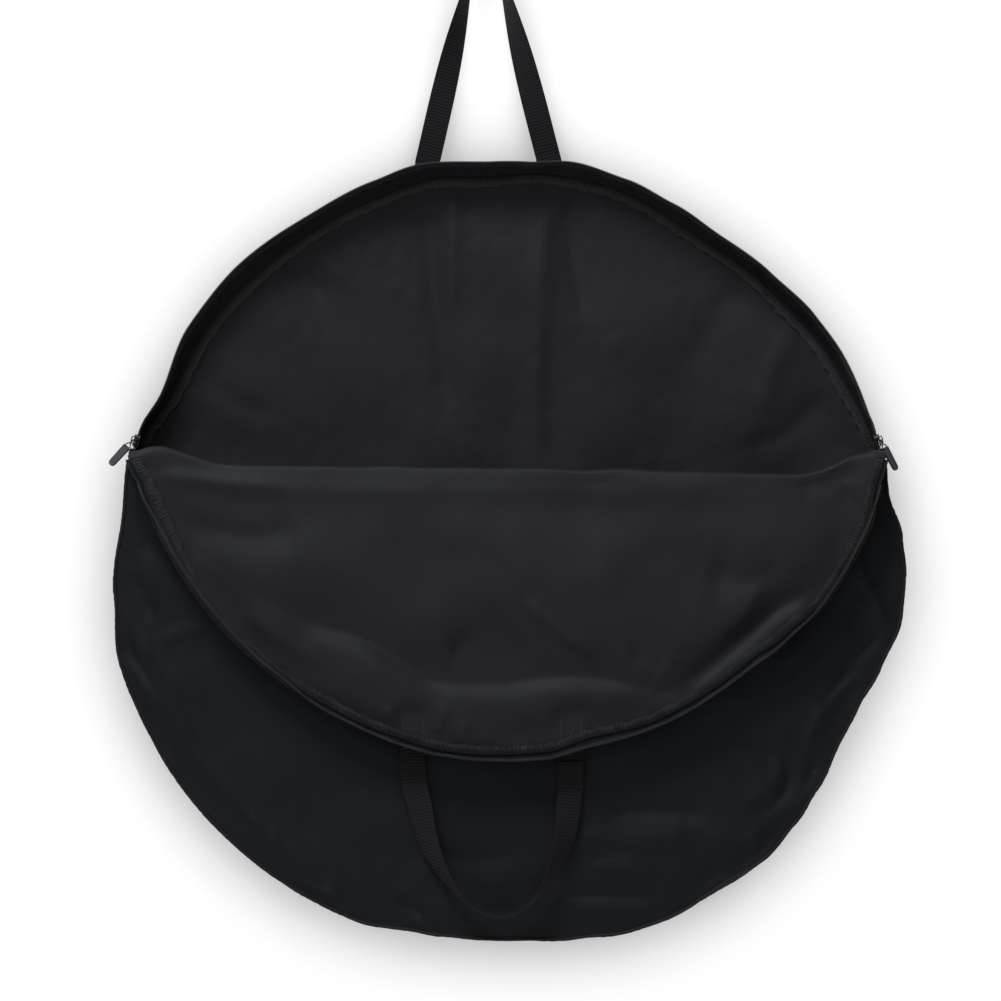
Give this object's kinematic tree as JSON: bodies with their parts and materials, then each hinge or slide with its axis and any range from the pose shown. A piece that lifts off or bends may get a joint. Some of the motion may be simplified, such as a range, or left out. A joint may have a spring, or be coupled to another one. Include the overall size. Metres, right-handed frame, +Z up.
{
  "type": "round wheel carry bag",
  "caption": "Round flat bag for a bicycle wheel, hung by its rear webbing handle, with the zip undone and the front flap folded down.",
  "frame": {"origin": "the point where a hook bears in the top of the rear handle's loop", "axes": "+Z up as the bag hangs, -Y towards the front, where the flap is, +X to the right seen from the front"},
  "size_m": [0.7949, 0.1244, 1.0167],
  "materials": {
    "shell_cloth": "dense plain-woven nylon, near black with a slight blue cast and a soft sheen",
    "seam_cloth": "black woven binding and corded piping",
    "zip_tape": "black woven zip tape, matt",
    "zip_coil": "black nylon coil",
    "slider_metal": "black enamelled die casting",
    "pull_wire": "dark plated wire",
    "pull_rubber": "moulded dark grey grip, satin",
    "webbing": "black 25 mm webbing with fine cross ribs"
  },
  "bodies": {
    "bag": {"back_panel": "shell_cloth", "front_panel": "shell_cloth", "gusset_lower": "shell_cloth", "gusset_upper": "shell_cloth", "piping_rear": "seam_cloth", "piping_front": "seam_cloth", "binding_rear": "seam_cloth", "binding_front": "seam_cloth", "zip_tape_rear": "zip_tape", "zip_coil_rear": "zip_coil", "zip_stop_left": "slider_metal", "zip_stop_right": "slider_metal", "rear_handle": "webbing"},
    "flap": {"front_flap": "shell_cloth", "flap_gusset": "shell_cloth", "piping_flap": "seam_cloth", "zip_tape_flap": "zip_tape", "zip_coil_flap": "zip_coil", "front_handle_end_left": "webbing", "front_handle_end_right": "webbing"},
    "front_loop": {"front_handle": "webbing"},
    "left_slider": {"slider_left": "slider_metal"},
    "right_slider": {"slider_right": "slider_metal"},
    "left_pull": {"pull_wire_left": "pull_wire", "pull_grip_left": "pull_rubber"},
    "right_pull": {"pull_wire_right": "pull_wire", "pull_grip_right": "pull_rubber"}
  },
  "joints": [
    {"name": "flap_fold", "type": "hinge", "parent": "bag", "child": "flap", "pos_m": [0.022, -0.08064, -0.5354], "axis": [-1, 0, 0], "range_deg": [0, 180]},
    {"name": "front_handle_swing", "type": "hinge", "parent": "flap", "child": "front_loop", "pos_m": [0.022, -0.08628, -0.83638], "axis": [1, 0, 0], "range_deg": [-85, 0]},
    {"name": "zip_run_left", "type": "hinge", "parent": "bag", "child": "left_slider", "pos_m": [0.022, -0.0479, -0.6234], "axis": [0, 1, 0], "range_deg": [0, 72.9]},
    {"name": "zip_run_right", "type": "hinge", "parent": "bag", "child": "right_slider", "pos_m": [0.022, -0.0479, -0.6234], "axis": [0, -1, 0], "range_deg": [0, 72.9]},
    {"name": "pull_left_swing", "type": "hinge", "parent": "left_slider", "child": "left_pull", "pos_m": [-0.35496, -0.0479, -0.51568], "axis": [0, -1, 0], "range_deg": [-140, 20]},
    {"name": "pull_right_swing", "type": "hinge", "parent": "right_slider", "child": "right_pull", "pos_m": [0.39896, -0.0479, -0.51568], "axis": [0, 1, 0], "range_deg": [-150, 5.5]}
  ]
}
